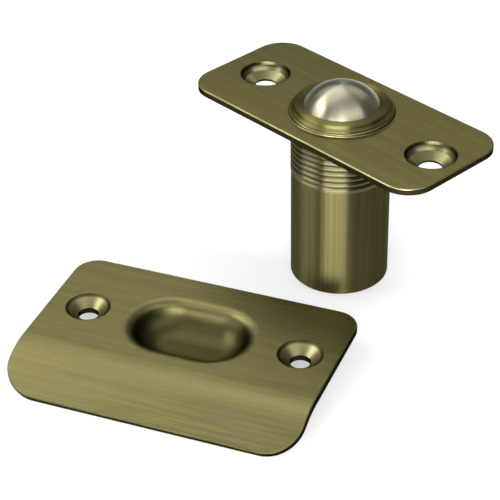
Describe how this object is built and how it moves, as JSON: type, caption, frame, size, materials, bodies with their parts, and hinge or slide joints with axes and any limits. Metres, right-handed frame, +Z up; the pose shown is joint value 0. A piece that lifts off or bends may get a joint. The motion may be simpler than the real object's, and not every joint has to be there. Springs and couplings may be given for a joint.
{
  "type": "ball catch",
  "caption": "Mortise ball catch with a sprung ball in a threaded barrel, a rectangular face plate, and a lipped strike plate with a drawn pocket.",
  "frame": {"origin": "centre of the barrel's closed end, which the catch stands on", "axes": "+Z up the barrel to the ball, +X along the face plate's long side, strike plate on the -Y side"},
  "size_m": [0.0631, 0.0825, 0.0406],
  "materials": {
    "plate_brass": "brushed antique brass",
    "barrel_brass": "turned antique brass",
    "strike_brass": "brushed antique brass",
    "ball_steel": "polished",
    "spring_steel": "drawn wire",
    "cup_brass": "turned",
    "plug_brass": "turned antique brass"
  },
  "bodies": {
    "plates": {"face_plate": "plate_brass", "strike_plate": "strike_brass"},
    "coil": {"spring": "spring_steel"},
    "tube": {"barrel": "barrel_brass", "end_plug": "plug_brass"},
    "cup": {"ball_cup": "cup_brass"},
    "ball": {"ball": "ball_steel"}
  },
  "joints": [
    {"name": "barrel_travel", "type": "slide", "parent": "plates", "child": "coil", "axis": [0, 0, 1], "range_m": [-0.00115, 0.0092]},
    {"name": "barrel_turn", "type": "hinge", "parent": "coil", "child": "tube", "pos_m": [0, 0, 0.03492], "axis": [0, 0, 1], "range_deg": [-361, 2881]},
    {"name": "ball_press", "type": "slide", "parent": "coil", "child": "cup", "axis": [0, 0, -1], "range_m": [0, 0.004], "stiffness_N_per_m": 3000, "springref_m": -0.003, "deforming": ["spring"]},
    {"name": "ball_roll", "type": "hinge", "parent": "cup", "child": "ball", "pos_m": [0, 0, 0.03201], "axis": [1, 0, 0], "continuous": true}
  ],
  "couplings": [
    {"joint": "barrel_turn", "follows": "barrel_travel", "rad_per_m": 5463.6}
  ]
}
